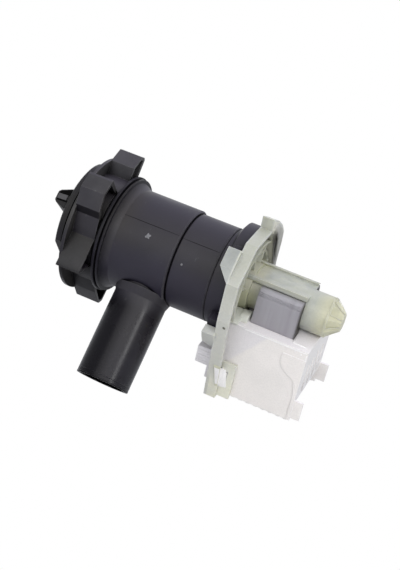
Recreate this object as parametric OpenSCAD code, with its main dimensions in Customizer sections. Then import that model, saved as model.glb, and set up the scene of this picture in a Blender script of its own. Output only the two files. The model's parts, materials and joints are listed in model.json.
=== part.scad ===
// Washing machine drain pump with a screw-in lint filter.
// The pump axis is X: the filter cap is at -X, the motor at +X, and the inlet tube points down.
// The origin is on the pump axis, in the plane of the collar that sits in the machine's front panel.

/* [Barrel] */
// Outer radius of the filter barrel
barrel_r = 35.9; // [33:0.1:38]
// Wall of the barrel
barrel_wall = 2.5; // [2:0.1:3]
// Length of the barrel from the collar to the joint with the pump housing
barrel_len = 51.5; // [50:0.5:60]
// Length of the neck in front of the collar, inside the cap
neck_len = 22; // [16:1:24]
// Height of the collar ridges above the barrel
collar_rise = 6.5; // [4:0.5:7]

/* [Inlet] */
// Outer radius of the inlet tube
inlet_r = 19; // [16:0.5:19.5]
// Wall of the inlet tube
inlet_wall = 2.5; // [2:0.1:3]
// Distance of the inlet tube's axis behind the collar
inlet_x = 33.5; // [32:0.5:36]
// Distance of the inlet tube's mouth from the pump axis
inlet_reach = 101; // [70:1:120]

/* [Pump housing] */
// Step down in radius from the barrel to the pump housing
pump_step = 1.7; // [1:0.1:2.5]
// Length of the plain part of the pump housing
section_len = 30; // [28:0.5:34]
// Depth of the impeller chamber's bulged part
chamber_len = 14.5; // [14:0.5:18]
// Sideways shift of the volute
volute_shift = 0; // [-3:0.5:4]
// Rise of the volute
volute_rise = 7; // [3:0.5:8]

/* [Outlet] */
// Outer radius of the outlet spigot
outlet_r = 9.5; // [8:0.5:10]
// Wall of the outlet spigot
outlet_wall = 2.5; // [2:0.1:3]
// Height of the outlet's axis above the pump axis
outlet_z = 25; // [22:0.5:26]
// Distance of the outlet's mouth from the pump axis
outlet_reach = 58; // [50:1:70]

/* [Filter cap] */
// Rise of the cap's front disc over the barrel
cap_rise = 5.7; // [4.5:0.1:7]
// Distance of the front disc's two flats from the axis
cap_flat = 32.5; // [30:0.5:40]
// Rise of the lobes over the barrel
lobe_rise = 20; // [15:0.2:22]
// Axial length of the lobed ring
lobe_len = 18; // [12:0.2:18.2]
// Height of the bar handle above the disc
handle_h = 10.6; // [8:0.2:16]
// Width of the bar handle at the disc
handle_w = 16; // [12:0.5:20]

/* [Lint filter] */
// Radial clearance of the basket in the housings
basket_gap = 1.1; // [0.8:0.1:2]
// Length of the basket behind its hub
basket_len = 82; // [70:1:84]
// Thickness of the basket's bars
basket_wall = 2.4; // [1.8:0.1:3]
// Number of lengthwise bars around the basket
basket_bars = 12; // [8:2:16]

/* [Motor bracket] */
// Angle by which the motor is turned about the pump axis, its top towards the front
motor_tilt = 41.6; // [0:0.1:60]
// Depth of the flange plate's rim
rim_depth = 8.5; // [6:0.5:10]
// Wall of the rim
rim_wall = 2.2; // [1.6:0.1:3]
// Thickness of the flange plate's web
web_t = 2.5; // [2:0.1:3.5]
// Outer radius of the rotor can
can_r = 14.15; // [13.5:0.05:14.2]
// Wall of the rotor can
can_wall = 1.2; // [1:0.1:1.5]

/* [Stator] */
// Thickness of the lamination stack along the pump axis
stack_len = 31.4; // [24:0.2:36]
// Half width of the core over its arms
core_half = 20; // [19:0.5:21]
// Radius of the core's bore around the rotor can
core_bore_r = 14.4; // [14.3:0.05:15]
// Height of the arms' tops above the pump axis
arm_top = 11.3; // [9:0.1:11.3]
// Thickness of a winding on its bobbin
winding_t = 4.4; // [3:0.2:4.6]

/* [Coil cover] */
// Half width of the coil cover
cover_half = 29; // [28:0.5:32]
// Length of the coil cover along the pump axis
cover_len = 53; // [52:0.5:60]
// Distance of the cover's top below the pump axis
cover_top = 14.6; // [14.5:0.1:16]
// Distance of the cover's end wall's lower edge below the pump axis
cover_bottom = 57; // [50:1:60]
// Distance of the side panels' lower edge below the pump axis
panel_bottom = 71; // [68:1:80]
// Wall of the coil cover
cover_wall = 1.6; // [1.2:0.1:2]

/* [Rotor and impeller] */
// Radius of the rotor shaft
shaft_r = 2; // [1.5:0.1:2.5]
// Radius of the magnet
magnet_r = 11.6; // [10:0.1:12]
// Radius over the impeller's vanes
impeller_r = 21; // [17:0.5:24]
// Number of vanes
vane_count = 4; // [3:1:8]
// Radial running clearance of the shaft in its bushes
running_gap = 0.05; // [0.01:0.01:0.1]

/* [Hidden] */
$fn = 96;
// Small face gap between pieces of different bodies
gap = 0.3;
bore_r = barrel_r - barrel_wall;
pump_r = barrel_r - pump_step;
pump_wall = 3;
pump_bore_r = pump_r - pump_wall;
joint_x = barrel_len;
seam_x = joint_x + section_len;
plate_x = seam_x + chamber_len;
plate_back = plate_x + rim_depth;
web_back = plate_x + web_t;

// Joint between the two black mouldings
joint_gap = 0.4;
joint_overlap = 9.5;
joint_spigot_r = bore_r - 0.3;
joint_bore_r = joint_spigot_r - 2.7;
oring = 1.8;

// Impeller chamber
chamber_depth = 21;
chamber_front = plate_x - chamber_depth;
partition_t = 2.5;
suction_r = 9;
mouth_len = 4;
outlet_x = plate_x - outlet_r - mouth_len;
outlet_boss = 1.5;
outlet_boss_end = pump_r + 2;

// Cap
disc_t = 5;
disc_front = -neck_len - 9;
cap_r = barrel_r + cap_rise;
lobe_r = barrel_r + lobe_rise;
collar_front = -2.4;
lobe_back = collar_front - gap;
lobe_front = lobe_back - lobe_len;
lobe_wall = 2.2;
skirt_in = barrel_r + 1.2;
skirt_r = barrel_r + 3.2;
wall_ring_r = skirt_r + 9.2;
wall_ring_t = 1.8;
flat_angle = 168;
handle_tip_w = 7.4;
handle_angle = 87;
handle_front = disc_front - handle_h;

// Lint filter
hub_front = disc_front + disc_t + 0.4;
hub_back = hub_front + 11;
hub_r = bore_r - 0.5;
seal_set = 5.5;
pivot_r = 8;
pivot_deep = 2.4;
basket_end = hub_back + basket_len;
hoop_w = 3;
basket_r = joint_bore_r - basket_gap;

// Rotor can and its contents
can_in = can_r - can_wall;
can_end = plate_x + 64.5;
nose_len = 8.5;
nose_r = 6.6;
roof_half = 12.5;
roof_h = 11.6;
core_x = plate_x + 16.2;
bush_r = 5;
bush_len = 6.5;
washer_t = 1;
carrier_end = 2;
front_bush_x = core_x - carrier_end - washer_t - gap - bush_len;
rear_bush_x = core_x + stack_len + carrier_end + washer_t + gap;
shaft_front = plate_x - 17;
shaft_back = rear_bush_x + bush_len + 0.8;
carrier_r = 4.6;

// Windings
arm_in = 9;
arm_foot = 52;
yoke_bottom = 64;
bobbin_t = 1;
bobbin_top = 17.4;
bobbin_bottom = 51.6;
flange_t = 1.4;
cutout_len = 14;
cutout_h = 8;
cutout_t = 1.7;

// Connector, in the motor's frame
conn_near = 30.2;
conn_far = 8.2;
conn_top = 41.2;
conn_bottom = 54.3;
conn_wall = 1.8;
conn_reach = 12.6;
rib_out = 0.6;
rib_t = 1.4;
rib_pitch = 4;

// Coil cover
cover_x = plate_back + 0.5;
cover_end = cover_x + cover_len;
lip_x = web_back + 1.5;
lip_in = can_r + 4;
tab_len = 6.5;
tab_top = 54;
loop_in = cover_half + 0.3;
loop_t = 2.4;
loop_x = cover_x + 8.6;
loop_top = 45;
loop_bottom = 73;
window_x = plate_x + 3.5;
window_len = 9.2;
window_top = 52;
window_h = 11.4;

// Claws of the bracket and lugs of the housing, as angles from the top towards the front
claw_angles = [86.8, 163, 245, 338];
claw_half = 8.2;
claw_tail = 9.9;
hook_half = 4;
lug_half = 13.5;
lug_lag = -3;
lug_r = pump_r + 8.1;
claw_r = lug_r + 7.2;
claw_in = lug_r + 0.4;
claw_len = 8.5;
lug_front = plate_x - 5.8;
stop_front = plate_x - 8;
stop_half = 8;

// Outline of the flange plate: distance to the front side and height, in the motor's own frame
plate_outline = [
    [-3.5, 51.8], [-8, 50], [-18.5, 45], [-30, 37], [-38, 28.8], [-40, 20], [-40, 4], [-42, -5],
    [-33.5, -75], [33.5, -75], [45.2, -7], [45, 21.5], [22, 42], [-4.5, 43]
];

// Turns a profile of [radius, x] points about the pump axis
module turned(points) {
    rotate([0, 90, 0]) rotate_extrude() polygon(points);
}

// A cylinder along the pump axis from x0 to x1
module rod(x0, x1, r) {
    translate([x0, 0, 0]) rotate([0, 90, 0]) cylinder(h = x1 - x0, r = r);
}

// A ring along the pump axis
module ring(x0, x1, r_out, r_in) {
    turned([[r_in, x0], [r_out, x0], [r_out, x1], [r_in, x1]]);
}

// An O-ring whose centre circle lies at radius r
module o_ring(x, r, thick) {
    translate([x, 0, 0]) rotate([0, 90, 0])
        rotate_extrude() translate([r, 0]) circle(d = thick, $fn = 32);
}

// A ring sector, centred on an angle from the top towards the front
module sector(x0, x1, r_out, r_in, angle, half) {
    translate([x0, 0, 0]) rotate([angle - half, 0, 0]) rotate([0, 90, 0])
        rotate([0, 0, 180]) rotate_extrude(angle = 2 * half)
            translate([r_in, 0]) square([r_out - r_in, x1 - x0]);
}

// The motor's own frame: Z up along the arms, -Y to the motor's front side
module motor_frame() {
    rotate([motor_tilt, 0, 0]) children();
}

// An outline of [front, height] points drawn as a plate from x0 to x1 in the motor's frame
module motor_plate(points, x0, x1) {
    motor_frame() translate([x0, 0, 0]) rotate([90, 0, 90])
        linear_extrude(height = x1 - x0) polygon([for (q = points) [-q[0], q[1]]]);
}

// A block in the motor's frame, given by its limits along x, front and height
module motor_block(x, d, h) {
    motor_frame() translate([x[0], -d[1], h[0]]) cube([x[1] - x[0], d[1] - d[0], h[1] - h[0]]);
}

// Unit vector and inward normal helpers for the inset outline
function unit(v) = v / norm(v);
function turn_left(v) = [-v[1], v[0]];

// The outline drawn in by t on all sides, with sharp corners
function inset(pts, t) = [
    for (i = [0 : len(pts) - 1])
        let (
            n = len(pts),
            before = unit(pts[i] - pts[(i + n - 1) % n]),
            after = unit(pts[(i + 1) % n] - pts[i]),
            n1 = turn_left(before),
            n2 = turn_left(after)
        )
        pts[i] + t * (n1 + n2) / (1 + n1 * n2)
];

// Black mouldings

module filter_housing() color([0.17, 0.17, 0.19]) {
    ridge_r = barrel_r + collar_rise;
    difference() {
        union() {
            turned([
                [bore_r - 1, -neck_len], [barrel_r - 0.8, -neck_len], [barrel_r, -neck_len + 0.8],
                [barrel_r, collar_front], [ridge_r - 3, collar_front], [ridge_r - 3, -0.9], [ridge_r, -0.9],
                [ridge_r, 0.7], [ridge_r - 2.6, 0.9], [ridge_r - 2.6, 2], [ridge_r - 1, 2],
                [ridge_r - 1, 3.4], [ridge_r - 3.4, 3.6], [barrel_r + 0.5, 8], [barrel_r, 9],
                [barrel_r, joint_x - 1], [barrel_r - 0.9, joint_x], [bore_r - 1, joint_x]
            ]);
            translate([inlet_x, 0, -inlet_reach])
                cylinder(h = inlet_reach, r = inlet_r);
            translate([inlet_x, 0, -barrel_r - 2.5])
                cylinder(h = 6, r1 = inlet_r, r2 = inlet_r + 2);
        }
        rod(-neck_len - 1, joint_x + 10, bore_r);
        rod(joint_x, joint_x + 10, pump_r + joint_gap);
        translate([inlet_x, 0, -inlet_reach - 1])
            cylinder(h = inlet_reach + 1, r = inlet_r - inlet_wall);
    }
}

module pump_housing() color([0.17, 0.17, 0.19]) {
    groove_x = joint_x - 5;
    groove_r = bore_r - oring - 0.2;
    difference() {
        union() {
            turned([
                [joint_bore_r, joint_x - joint_overlap], [joint_spigot_r, joint_x - joint_overlap],
                [joint_spigot_r, groove_x - 1.2], [groove_r, groove_x - 1.2],
                [groove_r, groove_x + 1.2], [joint_spigot_r, groove_x + 1.2],
                [joint_spigot_r, joint_x + joint_gap], [pump_r - 0.9, joint_x + joint_gap],
                [pump_r, joint_x + joint_gap + 1], [pump_r, seam_x - 0.5],
                [pump_r - 0.6, seam_x], [pump_r, seam_x + 0.5],
                [pump_r, plate_x - 0.4], [joint_bore_r, plate_x - 0.4]
            ]);
            rod(chamber_front - partition_t, chamber_front, pump_r - 1);
            translate([seam_x + 1.6, volute_shift, volute_rise]) rotate([0, 90, 0]) {
                cylinder(h = 3, r1 = pump_r - 5, r2 = pump_r - 0.2);
                translate([0, 0, 3]) cylinder(h = plate_x - seam_x - 5, r = pump_r - 0.2);
            }
            translate([outlet_x, outlet_r + mouth_len, outlet_z]) rotate([-90, 0, 0])
                cylinder(h = outlet_boss_end - outlet_r - mouth_len, r = outlet_r + outlet_boss);
            translate([outlet_x, outlet_boss_end - 1, outlet_z]) rotate([-90, 0, 0])
                cylinder(h = outlet_reach - outlet_boss_end + 1, r = outlet_r);
            for (a = claw_angles) {
                sector(lug_front, plate_x - 0.7, lug_r, pump_r - 1.3, a + lug_lag, lug_half);
                sector(stop_front, lug_front + 0.5, lug_r - 0.3, pump_r - 1.5,
                    a + lug_lag - lug_half + stop_half + 0.3, stop_half);
            }
        }
        rod(joint_x, chamber_front - partition_t, pump_bore_r);
        rod(chamber_front - partition_t - 1, chamber_front + 1, suction_r);
        rod(chamber_front, plate_x, pump_bore_r);
        translate([seam_x + 4.6, volute_shift, volute_rise]) rotate([0, 90, 0])
            cylinder(h = plate_x - seam_x - 4.6 - mouth_len, r = pump_bore_r - 0.2);
        translate([outlet_x, 0, outlet_z]) rotate([-90, 0, 0])
            cylinder(h = outlet_reach + 1, r = outlet_r - outlet_wall);
    }
}

module housing_seal() color([0.1, 0.1, 0.1])
    o_ring(joint_x - 5, bore_r - oring / 2 - 0.1, oring);

module bracket_seal() color([0.1, 0.1, 0.1])
    o_ring(plate_x - 2, pump_bore_r - 0.9, oring - 0.1);

// Filter cap

// The lobes: angle from the top, and rise as a part of the full rise
ratchet = [[-24.8, 0], [-15.8, 0.25], [-7.8, 0.54], [-1.3, 0.93], [0, 0.98], [1.6, 0.75], [7.2, 0]];
ratchet_hollow = [[-18.8, 0], [-14.8, 0.13], [-7.8, 0.38], [-2.3, 0.7], [-1, 0.7], [2.4, 0.3], [4, 0]];
ratchet_tips = [140.8, 267.8, 323.8];
block_1 = [[14.5, 0], [13.6, 0.9], [15.5, 1], [20, 1], [31.5, 0.55], [34, 0]];
hollow_1 = [[17.6, 0], [16.8, 0.8], [17.5, 0.86], [20.5, 0.86], [28.8, 0.5], [31, 0]];
block_2 = [
    [61, 0], [66.5, 0.97], [68.5, 1], [79.8, 1], [91.8, 0.62], [96.3, 0.32], [106, 0.12], [118, 0]
];
hollow_2 = [[65, 0], [69.5, 0.84], [79, 0.87], [88.5, 0.55], [92.5, 0.2], [94, 0]];
block_3 = [[178, 0], [195, 0.4], [209.5, 0.97], [211.5, 1], [216, 0.97], [224, 0.5], [226, 0]];
hollow_3 = [[186, 0], [196, 0.22], [209, 0.79], [211.5, 0.86], [215, 0.84], [221.3, 0.45], [223, 0]];

// A lobe from its points, drawn from radius r up, between x0 and x1
module lobe(points, turn, r, x0, x1) {
    first = points[0][0] + turn;
    last = points[len(points) - 1][0] + turn;
    translate([x0, 0, 0]) rotate([90, 0, 90]) linear_extrude(height = x1 - x0)
        polygon([
            [-(r - 1) * sin(first), (r - 1) * cos(first)],
            for (q = points)
                let (s = r + q[1] * (lobe_r - r)) [-s * sin(q[0] + turn), s * cos(q[0] + turn)],
            [-(r - 1) * sin(last), (r - 1) * cos(last)]
        ]);
}

module lobe_ring() {
    end = lobe_back - 0.3;
    lobe(block_1, 0, skirt_r, lobe_front, end);
    lobe(block_2, 0, skirt_r, lobe_front, end);
    lobe(block_3, 0, skirt_r, lobe_front, end);
    for (tip = ratchet_tips)
        lobe(ratchet, tip, skirt_r, lobe_front, end);
}

// The hollows of the lobes, open towards the barrel
module lobe_pockets() {
    front = lobe_front + lobe_wall;
    floor_r = skirt_r + 1;
    difference() {
        union() {
            lobe(hollow_1, 0, floor_r, front, lobe_back + 1);
            lobe(hollow_2, 0, floor_r, front, lobe_back + 1);
            lobe(hollow_3, 0, floor_r, front, lobe_back + 1);
            for (tip = ratchet_tips)
                lobe(ratchet_hollow, tip, floor_r, front, lobe_back + 1);
        }
        rod(front - 1, lobe_back + 2, floor_r);
    }
}

module cap_handle() {
    intersection() {
        rotate([handle_angle, 0, 0]) translate([0, 0, -cap_r]) linear_extrude(height = 2 * cap_r)
            polygon([
                [disc_front + 1, -handle_w / 2], [disc_front, -handle_w / 2],
                [handle_front + 1.5, -handle_tip_w / 2 - 1], [handle_front, -handle_tip_w / 2 + 0.5],
                [handle_front, handle_tip_w / 2 - 0.5], [handle_front + 1.5, handle_tip_w / 2 + 1],
                [disc_front, handle_w / 2], [disc_front + 1, handle_w / 2]
            ]);
        turned([[0, handle_front - 1], [cap_r - 6, handle_front - 1], [cap_r - 3.5, disc_front + 2],
            [0, disc_front + 2]]);
    }
}

// The front disc with its rim and its two flats
module cap_disc() {
    difference() {
        turned([
            [0, disc_front], [cap_r - 2, disc_front], [cap_r, disc_front + 1.2],
            [cap_r, disc_front + disc_t], [0, disc_front + disc_t]
        ]);
        for (side = [0, 180])
            rotate([flat_angle + side, 0, 0]) translate([disc_front - 1, -cap_r, cap_flat])
                cube([disc_t + 2, 2 * cap_r, cap_r]);
    }
}

module filter_cap() color([0.16, 0.16, 0.18]) {
    difference() {
        union() {
            cap_disc();
            turned([
                [0, disc_front + 1.5], [cap_flat - 1.5, disc_front + 1.5],
                [cap_flat - 1.5, disc_front + 3.5], [skirt_r - 1.5, disc_front + 3.5],
                [skirt_r - 1.5, lobe_front - 1], [skirt_r, lobe_front], [skirt_r, lobe_back],
                [skirt_in, lobe_back], [skirt_in, disc_front + disc_t], [0, disc_front + disc_t]
            ]);
            difference() {
                lobe_ring();
                rod(lobe_front - 1, lobe_back + 1, skirt_in + 0.4);
                lobe_pockets();
            }
            ring(lobe_front - wall_ring_t, lobe_front + 0.5, wall_ring_r, skirt_in + 0.2);
            cap_handle();
        }
        rod(disc_front + pivot_deep, disc_front + disc_t + 1, pivot_r);
    }
}

// Lint filter

module basket_hoop(x) {
    ring(x, x + hoop_w, basket_r, basket_r - basket_wall);
}

module lint_filter() color([0.19, 0.19, 0.2]) {
    inlet_edge = inlet_r + 2;
    bar_step = 360 / basket_bars;
    bar_out = basket_r - 0.4;
    bar_in = basket_r - basket_wall + 0.3;
    groove_x = hub_front + seal_set;
    groove_r = bore_r - gap - oring - 0.05;
    turned([
        [0, disc_front + pivot_deep + gap], [pivot_r - running_gap, disc_front + pivot_deep + gap],
        [pivot_r - running_gap, hub_front + 5], [hub_r - 14, hub_front + 5],
        [hub_r - 14, hub_front], [hub_r - 4, hub_front],
        [hub_r, hub_front + 2], [hub_r, groove_x - 1.3], [groove_r, groove_x - 1.3],
        [groove_r, groove_x + 1.3], [hub_r, groove_x + 1.3], [hub_r, hub_back - 1],
        [basket_r, hub_back], [basket_r, hub_back + hoop_w],
        [basket_r - basket_wall, hub_back + hoop_w], [basket_r - basket_wall, hub_back],
        [0, hub_back]
    ]);
    basket_hoop(inlet_x + inlet_edge);
    basket_hoop(basket_end - hoop_w);
    for (i = [0 : basket_bars - 1]) {
        angle = i * bar_step;
        facing_inlet = angle > 120 && angle < 240;
        start = facing_inlet ? inlet_x + inlet_edge + 1 : hub_back + 1;
        sector(start, basket_end - 1, bar_out, bar_in, angle, 4.5);
    }
    difference() {
        rod(basket_end - 2.2, basket_end - 0.2, basket_r - 1.2);
        for (i = [0 : basket_bars / 2 - 1])
            sector(basket_end - 3, basket_end + 1, basket_r - 4, 10, i * 2 * bar_step, 20);
        rod(basket_end - 3, basket_end + 1, 7);
    }
}

module filter_seal() color([0.1, 0.1, 0.1])
    o_ring(hub_front + seal_set, bore_r - gap - oring / 2, oring);

// Impeller and rotor

dog_set = 14;
dog_x = plate_x - dog_set;
dog_len = 4;
dog_r = 8;
dog_half = 28;

module impeller() color([0.86, 0.86, 0.84]) {
    cup_wall = 3;
    cup_r = dog_r + cup_wall;
    front = dog_x - 1.8;
    back = dog_x + dog_len + 0.6;
    difference() {
        union() {
            rod(front - 1.6, back, cup_r);
            rod(back, back + 1.8, impeller_r - 1);
            for (i = [0 : vane_count - 1])
                rotate([i * 360 / vane_count, 0, 0]) translate([front + 1, -1, 0])
                    cube([back - front, 2, impeller_r]);
        }
        rod(front, back + 0.001, dog_r + 0.5);
        rod(front - cup_wall, back + cup_wall, shaft_r + running_gap);
    }
    sector(front - 0.01, back + 0.01, dog_r + 1, dog_r * 0.62, 180, dog_half - 2);
}

module drive_dog() color([0.75, 0.72, 0.6]) {
    difference() {
        union() {
            rod(dog_x - 0.8, dog_x + dog_len + 0.3, dog_r * 0.56);
            sector(dog_x, dog_x + dog_len, dog_r, shaft_r + 1, 0, dog_half);
        }
        rod(dog_x - 2, dog_x + dog_len + 2, shaft_r);
    }
}

module rotor_shaft() color([0.75, 0.76, 0.78])
    turned([
        [0, shaft_front], [shaft_r - 0.4, shaft_front], [shaft_r, shaft_front + 0.4],
        [shaft_r, shaft_back - 0.4], [shaft_r - 0.4, shaft_back], [0, shaft_back]
    ]);

module rotor_magnet() color([0.25, 0.25, 0.27])
    ring(core_x, core_x + stack_len, magnet_r, carrier_r);

module rotor_carrier() color([0.85, 0.85, 0.82])
    turned([
        [shaft_r, core_x - carrier_end], [magnet_r - 2, core_x - carrier_end],
        [magnet_r - 2, core_x], [carrier_r, core_x],
        [carrier_r, core_x + stack_len], [magnet_r - 2, core_x + stack_len],
        [magnet_r - 2, core_x + stack_len + carrier_end],
        [shaft_r, core_x + stack_len + carrier_end]
    ]);

module thrust_washers() color([0.8, 0.7, 0.4]) {
    front = core_x - carrier_end;
    back = core_x + stack_len + carrier_end;
    ring(front - washer_t, front, bush_r - 0.6, shaft_r);
    ring(back, back + washer_t, bush_r - 0.6, shaft_r);
}

module rotor_cover() color([0.82, 0.83, 0.74])
    turned([
        [shaft_r + 0.4, plate_x - 1.5], [7, plate_x - 1.5], [9, plate_x], [can_in, plate_x],
        [can_in, web_back], [shaft_r + 0.4, web_back]
    ]);

module bush(x) {
    ring(x, x + bush_len, bush_r, shaft_r + running_gap);
}

module bush_mount(x) {
    turned([
        [bush_r, x + 0.6], [bush_r + 2, x + 0.6], [bush_r + 3, x + 1.6], [can_in - 2, x + 1.6],
        [can_in - 1.4, x], [can_in, x], [can_in, x + bush_len - 0.4],
        [bush_r, x + bush_len - 0.4]
    ]);
}

module front_bush() color([0.72, 0.55, 0.3]) bush(front_bush_x);
module rear_bush() color([0.72, 0.55, 0.3]) bush(rear_bush_x);
module front_bush_mount() color([0.15, 0.15, 0.15]) bush_mount(front_bush_x);
module rear_bush_mount() color([0.15, 0.15, 0.15]) bush_mount(rear_bush_x);

// Motor bracket

// A claw that reaches forward over a lug of the pump housing. Its hook holds the lug's front
// beside the stop, and its tail slants back to the plate.
module claw(angle) {
    x0 = plate_x - claw_len;
    sector(x0, plate_x + 1, claw_r, claw_in, angle, claw_half);
    sector(x0 + 0.1, x0 + 2.2, claw_in + 0.5, pump_r + 2, angle + claw_half - hook_half - 0.2, hook_half);
    intersection() {
        ring(x0 - 1, plate_x + 0.9, claw_r - 0.1, claw_in + 0.1);
        rotate([angle + claw_half, 0, 0]) linear_extrude(height = claw_r + 1)
            polygon([[x0 + 0.1, 1], [x0 + 0.1, 0], [plate_x, -claw_tail], [plate_x + 1, -claw_tail],
                [plate_x + 1, 1]]);
    }
}

// The snap loop on one side of the cover, side is 1 for the front and -1 for the back
module snap_loop(side) {
    d0 = side > 0 ? loop_in : -loop_in - loop_t;
    difference() {
        motor_block([plate_x, loop_x], [d0, d0 + loop_t], [-loop_bottom, -loop_top]);
        motor_block([window_x, window_x + window_len], [d0 - 1, d0 + loop_t + 1],
            [-window_top - window_h, -window_top]);
    }
}

module motor_bracket() color([0.78, 0.8, 0.7]) {
    difference() {
        union() {
            difference() {
                motor_plate(plate_outline, plate_x, plate_back);
                motor_plate(inset(plate_outline, rim_wall), web_back, plate_back + 1);
            }
            difference() {
                union() {
                    ring(web_back - 1, plate_back - 1, 34, 32.4);
                    ring(web_back - 1, plate_back - 3, 27, 25.4);
                }
                motor_block([web_back, plate_back], [-cover_half - 2, cover_half + 2],
                    [-panel_bottom, -cover_top + 2]);
            }
            rod(plate_x, plate_back, can_r + 3);
            rod(plate_x, can_end, can_r);
            translate([can_end - 0.5, 0, 0]) rotate([motor_tilt + 22.5, 0, 0])
                rotate([0, 90, 0])
                cylinder(h = nose_len + 0.5, r1 = can_r - 0.2, r2 = nose_r, $fn = 8);
            turned([
                [pump_bore_r - 3, plate_x - 3.4], [pump_bore_r - 0.3, plate_x - 3.4],
                [pump_bore_r - 0.3, plate_x - 3], [pump_bore_r - 1.8, plate_x - 3],
                [pump_bore_r - 1.8, plate_x - 1], [pump_bore_r - 0.3, plate_x - 1],
                [pump_bore_r - 0.3, plate_x + 0.5], [pump_bore_r - 3, plate_x + 0.5]
            ]);
            difference() {
                for (a = claw_angles) claw(a);
                translate([seam_x, volute_shift, volute_rise]) rotate([0, 90, 0])
                    cylinder(h = chamber_len + 2, r = pump_r + 0.2);
            }
            motor_block([web_back, core_x + stack_len + 0.4], [-roof_half, roof_half],
                [roof_h, roof_h + 1.8]);
            for (side = [-1, 1])
                motor_block([web_back, core_x + stack_len + 0.4],
                    [side * (roof_half - 1) - 1, side * (roof_half - 1) + 1],
                    [roof_h, roof_h + 3.4]);
            for (a = [20, 70, 290, 340])
                motor_frame() rotate([a, 0, 0])
                    translate([web_back - 0.5, -0.9, can_r + 1]) cube([4, 1.8, 32 - can_r]);
            snap_loop(1);
            snap_loop(-1);
        }
        rod(plate_x - 1, can_end - 1.6, can_in);
        motor_block([plate_x - 1, web_back + 1], [conn_far - 0.2, conn_near + 0.2],
            [-conn_bottom - 0.2, -conn_top + 0.2]);
    }
}

module stator_core() color([0.6, 0.59, 0.62]) {
    lip = 6;
    pts = [
        [-core_half, -yoke_bottom], [core_half, -yoke_bottom], [core_half, arm_top - lip],
        for (a = [0 : 15 : 90])
            [core_half - lip + lip * cos(a), arm_top - lip + lip * sin(a)],
        [arm_in + 4, arm_top], [arm_in + 4, 0], [arm_in, -8], [arm_in, -arm_foot],
        [-arm_in, -arm_foot], [-arm_in, -8], [-arm_in - 4, 0], [-arm_in - 4, arm_top],
        for (a = [90 : 15 : 180])
            [-core_half + lip + lip * cos(a), arm_top - lip + lip * sin(a)]
    ];
    difference() {
        motor_plate(pts, core_x, core_x + stack_len);
        rod(core_x - 1, core_x + stack_len + 1, core_bore_r);
    }
}

// A bobbin on one arm
module bobbin(side) {
    x = [core_x - bobbin_t - 0.1, core_x + stack_len + bobbin_t + 0.1];
    grow = winding_t - 0.2;
    lo = arm_in - bobbin_t - 0.1;
    hi = core_half + bobbin_t + 0.1;
    function span(a, b) = side > 0 ? [a, b] : [-b, -a];
    difference() {
        union() {
            motor_block(x, span(lo, hi), [-bobbin_bottom, -bobbin_top]);
            for (h = [-bobbin_bottom, -bobbin_top - flange_t])
                motor_block([x[0] - grow, x[1] + grow], span(lo - grow, hi + grow),
                    [h, h + flange_t]);
        }
        motor_block([core_x - 0.1, core_x + stack_len + 0.1],
            span(arm_in - 0.1, core_half + 0.1), [-bobbin_bottom - 1, -bobbin_top + 1]);
    }
}

// The winding on one bobbin, between its flanges
module winding(side) {
    x = [core_x - bobbin_t - 0.1, core_x + stack_len + bobbin_t + 0.1];
    lo = arm_in - bobbin_t - 0.1;
    hi = core_half + bobbin_t + 0.1;
    t = winding_t - 0.6;
    function span(a, b) = side > 0 ? [a, b] : [-b, -a];
    h = [-bobbin_bottom + flange_t, -bobbin_top - flange_t];
    difference() {
        motor_block([x[0] - t, x[1] + t], span(lo - t, hi + t), h);
        motor_block(x, span(lo, hi), [h[0] - 1, h[1] + 1]);
    }
}

module near_bobbin() color([0.9, 0.9, 0.88]) bobbin(1);
module far_bobbin() color([0.9, 0.9, 0.88]) bobbin(-1);
module near_winding() color([0.72, 0.42, 0.25]) winding(1);
module far_winding() color([0.72, 0.42, 0.25]) winding(-1);

module thermal_cutout() color([0.2, 0.2, 0.22])
    motor_block([core_x + cutout_h, core_x + cutout_h + cutout_len],
        [cover_half - cover_wall - 0.1 - cutout_t, cover_half - cover_wall - 0.1],
        [-conn_top, cutout_h - conn_top]);

// Coil cover

// Raised field on the front wall, as [x, height] points
emboss_outline = [
    [36.5, -6.5], [35.7, -11.8], [37.1, -17], [41.7, -20.7], [48.6, -25], [50.7, -36],
    [50.7, -54], [53, -54], [53, -6.5]
];

module side_panel(side) {
    d = side > 0 ? [cover_half - cover_wall, cover_half] : [-cover_half, -cover_half + cover_wall];
    nub = side > 0 ? [cover_half - 0.2, cover_half + 2.4] : [-cover_half - 2.4, -cover_half + 0.2];
    lip = side > 0 ? [lip_in, cover_half - 0.5] : [-cover_half + 0.5, -lip_in];
    motor_block([lip_x, cover_end], d, [-panel_bottom, -cover_top - 1]);
    motor_block([lip_x, cover_x + 1], lip, [-cover_top - cover_wall, -cover_top - 0.1]);
    motor_block([cover_end - 1, cover_end + tab_len], d, [-panel_bottom + 2.5, -tab_top]);
    motor_block([window_x + 3.2, window_x + window_len - 0.4], nub,
        [-window_top - window_h + 0.6, -window_top - 1]);
}

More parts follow.
